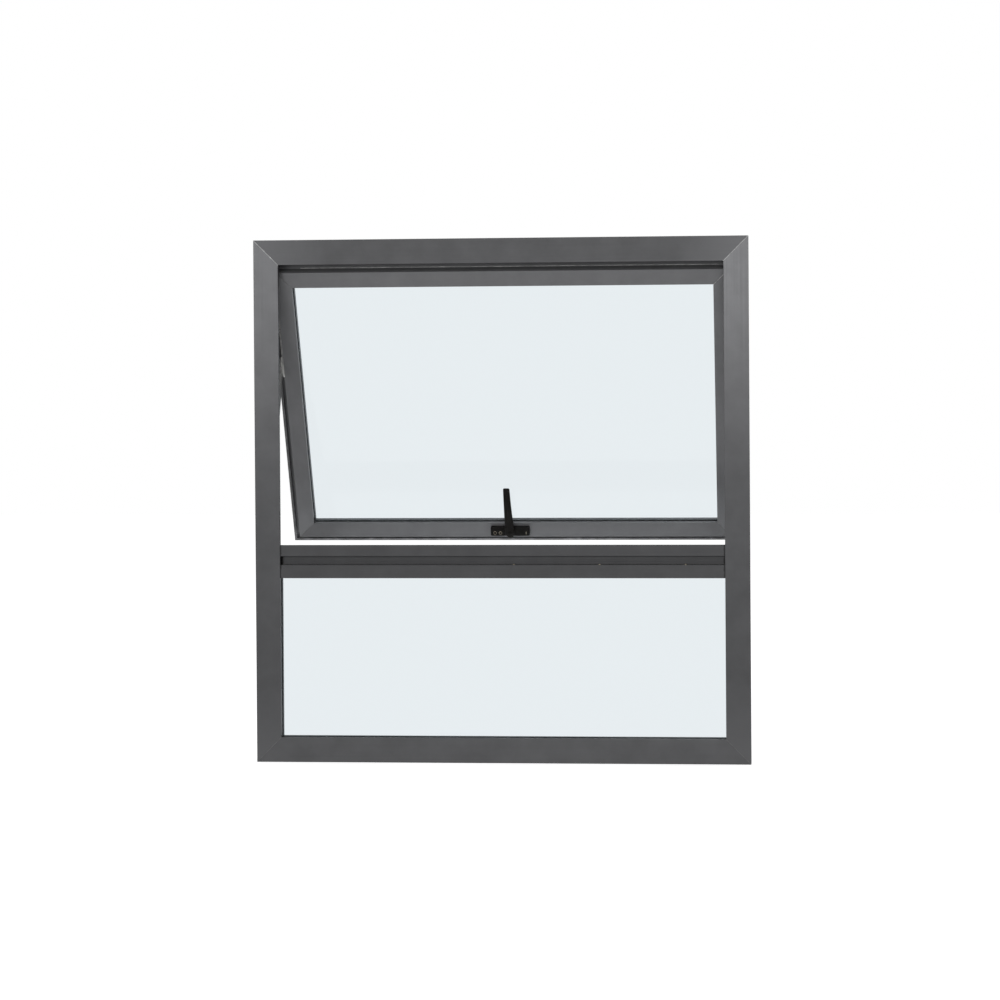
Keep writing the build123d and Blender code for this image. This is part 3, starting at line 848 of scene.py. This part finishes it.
def cam_grid():
    """The cam's nose: a superellipsoid on the CAD cam's box, made a quarter taller into the base."""
    low, high = extent("handle_cam", SASH)
    half, middle = (high - low) / 2, (high + low) / 2
    taller, pole = 0.25, np.pi / 2 - 0.02
    tilt = np.linspace(-pole, pole, CAM_ROWS)[:, None]
    angle = np.linspace(0, 2 * np.pi, CAM_COLUMNS, endpoint=False)[None, :]
    ring, out = superellipse(tilt, 1.0, half[2], power=3.2)
    across, up = superellipse(angle, half[0], half[1] * (1 + taller), power=2.6)
    lift = middle[1] + half[1] * taller
    across, up = middle[0] + ring * across, lift + ring * up
    return np.stack([across, up, np.broadcast_to(middle[2] + out, across.shape)], -1) @ SASH


def handle_fittings(sizes):
    """Grids of the base's screw rims, screw heads and slot rim, and of the cap on the lever's pivot."""
    low, high = extent("handle_base", SASH)
    face = low[2] - high[2]
    towards = np.stack([SASH[0], -SASH[1], -SASH[2]])
    screws = on_sash([(across, BASE_FITTINGS_UP, face) for across in BASE_SCREWS])
    slot = on_sash([(BASE_SLOT, BASE_FITTINGS_UP, face)])
    pivot = on_sash([(0.0, 0.0, PIVOT_CAP_OUT)])
    turn = np.linspace(0, np.pi, 8)
    wire = 0.45 * MM
    ring = np.stack([sizes.screw_rim + wire * np.cos(turn), 0.1 * MM + wire * np.sin(turn)], -1)
    narrow_and_tall = towards * ((0.6,), (3.2,), (1.0,))
    return (
        lathe(ring, screws, towards),
        lathe(dome(sizes.base_screw, height=0.4 * MM), screws, towards),
        lathe(dome(radius=1.0 * MM, height=0.45 * MM), slot, narrow_and_tall),
        lathe(dome(sizes.pivot_cap, height=1.0 * MM), pivot, towards),
    )


class WINDOW_OT_handle(Operator):
    """Gives the cam handle its finished shape, screws and pivot cap, coated black"""

    bl_idname = "window.handle"
    bl_label = "Fit the cam handle"

    def execute(self, context):
        finish, sizes = context.scene.window_finish, context.scene.window_hardware
        black = handle_coat("handle_black", tuple(finish.handle_colour))
        rim = bare_metal("rim_metal", tuple(finish.rim_colour))
        dress(black, named("handle"))
        lever = lever_grid(sizes.lever_boss, sizes.lever_tip)
        piece("handle_lever_form", [lever], black, hides=["handle_lever"])
        piece("handle_base_form", [base_grid()], black, hides=["handle_base"])
        piece("handle_cam_form", [cam_grid()], black, hides=["handle_cam"])
        rims, heads, slot, cap = handle_fittings(sizes)
        piece("handle_screw_rims", rims, rim, ends=False)
        piece("handle_screw_heads", heads, black)
        piece("handle_slot_rim", slot, rim)
        piece("handle_pivot_cap", cap, black)
        return {"FINISHED"}


def floor_material():
    """A pale floor: white with the object's shadow to the camera, plain white to metal and glass."""
    material, tree, shader = new_material("studio_floor")
    shader.inputs["Base Color"].default_value = (0.8, 0.8, 0.8, 1.0)
    shader.inputs["Roughness"].default_value = 0.9
    shader.inputs["Specular IOR Level"].default_value = 0.0
    shader.inputs["Emission Color"].default_value = (1.0, 1.0, 1.0, 1.0)
    path = tree.nodes.new("ShaderNodeLightPath")
    glow = spread_value(tree, path.outputs["Is Camera Ray"], 0.0, 0.74, from_low=0.0, from_high=1.0)
    tree.links.new(glow, shader.inputs["Emission Strength"])
    white = tree.nodes.new("ShaderNodeEmission")
    switch_shaders(tree, mirrored_rays(tree), shader.outputs["BSDF"], white.outputs["Emission"])
    return material


def soft_light(name, place, aim, size, power, mirrored=True):
    """A softbox at a place, turned to its aim and itself out of the camera's sight."""
    data = bpy.data.lights.new(name, "AREA")
    data.shape = "RECTANGLE"
    data.size, data.size_y = size
    data.energy = power
    lamp = bpy.data.objects.new(name, data)
    bpy.context.scene.collection.objects.link(lamp)
    lamp.location = place
    lamp.rotation_mode = "QUATERNION"
    lamp.rotation_quaternion = (Vector(aim) - Vector(place)).to_track_quat("-Z", "Y")
    lamp.visible_camera = False
    lamp.visible_glossy = mirrored
    lamp.visible_transmission = mirrored


def white_world(strength):
    """White surroundings that light the object at a plain level and look white behind it."""
    world = bpy.data.worlds.new("studio_world")
    bpy.context.scene.world = world
    world.use_nodes = True
    tree = world.node_tree
    background = next(n for n in tree.nodes if n.type == "BACKGROUND")
    background.inputs["Color"].default_value = (1.0, 1.0, 1.0, 1.0)
    path = tree.nodes.new("ShaderNodeLightPath")
    seen = calculate(tree, "MAXIMUM", path.outputs["Is Camera Ray"], mirrored_rays(tree))
    level = spread_value(tree, seen, strength, 1.0, from_low=0.0, from_high=1.0)
    tree.links.new(level, background.inputs["Strength"])


def place_camera(stage):
    """The camera at the photograph's viewing angle: round to the right, a little above, slightly rolled."""
    face = extent("frame_head", WORLD)[0][2]
    aim = Vector((stage.aim_x, face, stage.aim_z))
    level = math.cos(stage.elevation)
    back = Vector((math.sin(stage.yaw) * level, -math.cos(stage.yaw) * level, math.sin(stage.elevation)))
    data = bpy.data.cameras.new("camera")
    camera = bpy.data.objects.new("camera", data)
    bpy.context.scene.collection.objects.link(camera)
    camera.location = aim + back * stage.distance
    turn = (-back).to_track_quat("-Z", "Y").to_matrix().to_4x4() @ Matrix.Rotation(stage.roll, 4, "Z")
    camera.rotation_mode = "QUATERNION"
    camera.rotation_quaternion = turn.to_quaternion()
    data.lens = stage.focal
    data.shift_x = stage.shift_x
    data.shift_y = stage.shift_y
    data.clip_end = 100.0
    bpy.context.scene.camera = camera


class WINDOW_OT_stage(Operator):
    """Sets the floor, the white surroundings, the soft lights and the camera"""

    bl_idname = "window.stage"
    bl_label = "Set the stage"

    def execute(self, context):
        stage = context.scene.window_stage
        mesh = bpy.data.meshes.new("floor")
        corners = [(x * FLOOR_HALF, y * FLOOR_HALF, 0.0) for x, y in ((-1, -1), (1, -1), (1, 1), (-1, 1))]
        mesh.from_pydata(corners, [], [(0, 1, 2, 3)])
        mesh.materials.append(floor_material())
        floor = bpy.data.objects.new("floor", mesh)
        context.scene.collection.objects.link(floor)
        white_world(stage.sky)
        for *light, share in KEY_LIGHTS:
            soft_light(*light, stage.key_power * share)
        soft_light(*UNDER_LIGHT, stage.under_power, mirrored=False)
        place_camera(stage)
        context.scene.view_settings.view_transform = "Standard"
        return {"FINISHED"}


class WINDOW_PT_panel(Panel):
    """Lists the window's operators and settings"""

    bl_label = "Aluminium window"
    bl_idname = "WINDOW_PT_panel"
    bl_space_type = "VIEW_3D"
    bl_region_type = "UI"
    bl_category = "Window"

    def draw(self, context):
        layout = self.layout
        scene = context.scene
        for settings in (scene.window_finish, scene.window_hardware, scene.window_stage):
            column = layout.column()
            for name in settings.__annotations__:
                column.prop(settings, name)
        for operator in OPERATORS:
            layout.operator(operator.bl_idname)


OPERATORS = (
    WINDOW_OT_extrusions,
    WINDOW_OT_glass,
    WINDOW_OT_gaskets,
    WINDOW_OT_joints,
    WINDOW_OT_stays,
    WINDOW_OT_handle,
    WINDOW_OT_stage,
)
CLASSES = (WindowFinishSettings, WindowHardwareSettings, WindowStageSettings, *OPERATORS, WINDOW_PT_panel)


def register():
    """Registers the classes and hangs the settings on the scene."""
    for cls in CLASSES:
        bpy.utils.register_class(cls)
    bpy.types.Scene.window_finish = PointerProperty(type=WindowFinishSettings)
    bpy.types.Scene.window_hardware = PointerProperty(type=WindowHardwareSettings)
    bpy.types.Scene.window_stage = PointerProperty(type=WindowStageSettings)


def unregister():
    """Takes the settings and the classes away again."""
    del bpy.types.Scene.window_stage
    del bpy.types.Scene.window_hardware
    del bpy.types.Scene.window_finish
    for cls in reversed(CLASSES):
        bpy.utils.unregister_class(cls)


def main():
    """Runs every operator in order."""
    register()
    bpy.ops.window.extrusions()
    bpy.ops.window.glass()
    bpy.ops.window.gaskets()
    bpy.ops.window.joints()
    bpy.ops.window.stays()
    bpy.ops.window.handle()
    bpy.ops.window.stage()


if __name__ == "__main__":
    main()
